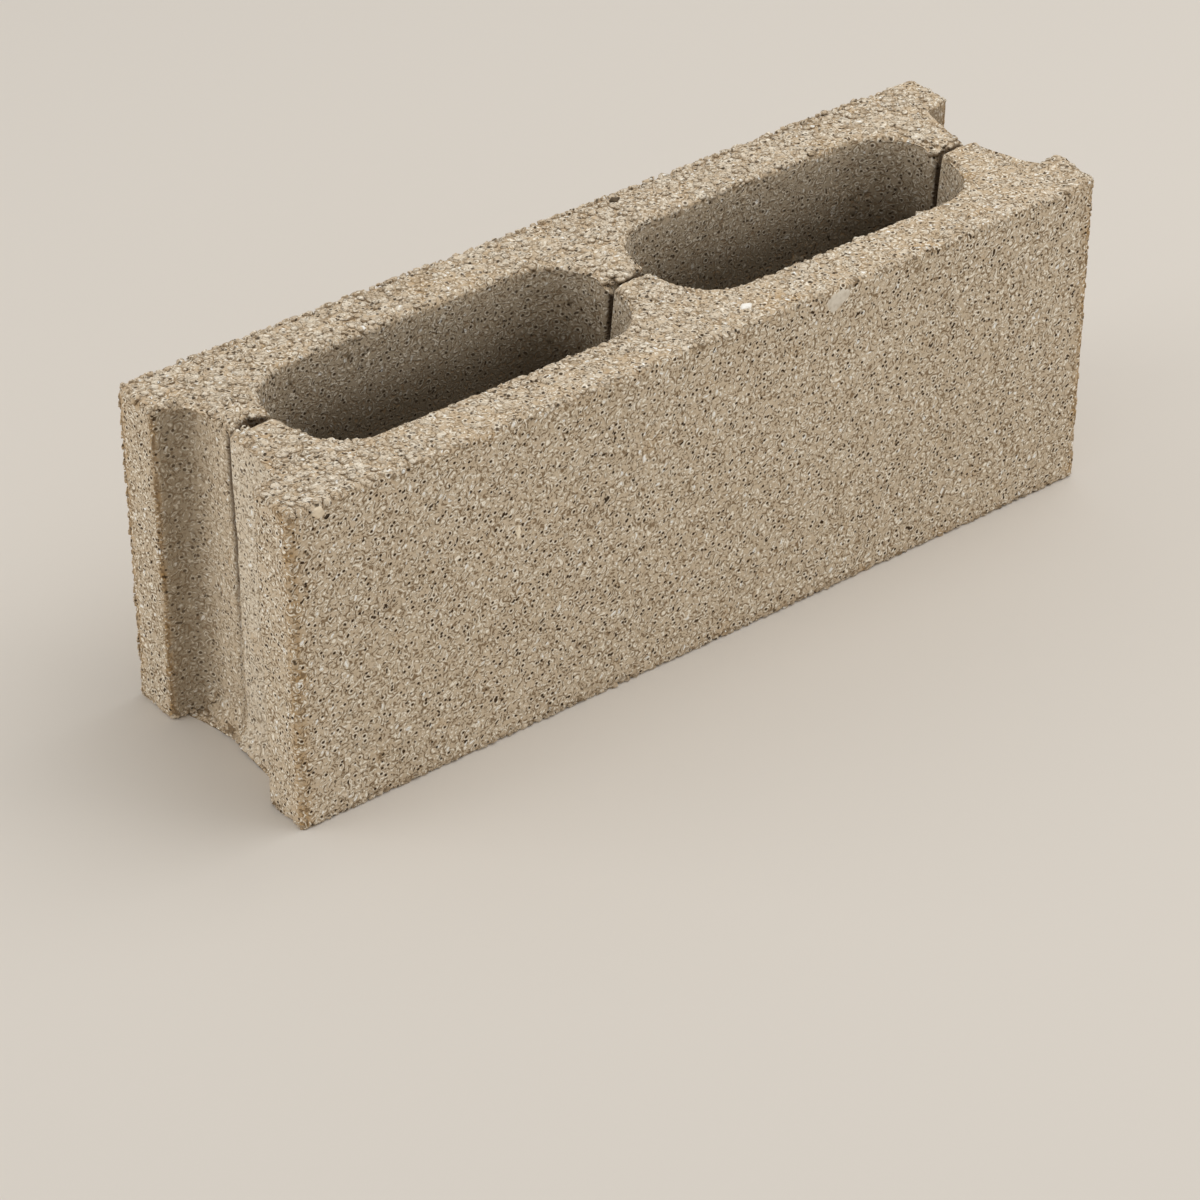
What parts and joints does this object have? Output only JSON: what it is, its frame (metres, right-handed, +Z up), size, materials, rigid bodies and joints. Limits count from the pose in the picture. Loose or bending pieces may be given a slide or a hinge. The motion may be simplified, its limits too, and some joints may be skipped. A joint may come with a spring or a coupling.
{
  "type": "concrete block",
  "caption": "Hollow concrete building block with drafted round-cornered cores, a mortar recess down each end and a narrow slit across the top of every web.",
  "frame": {"origin": "middle of the bed face, on the surface that the block stands on", "axes": "+X along the length, +Y through the width towards the back face, +Z up towards the face with the slits"},
  "size_m": [0.39, 0.11, 0.14],
  "materials": {
    "concrete": "open granular cast concrete, beige grey"
  },
  "bodies": {
    "root": {"concrete_block": "concrete"}
  },
  "joints": []
}
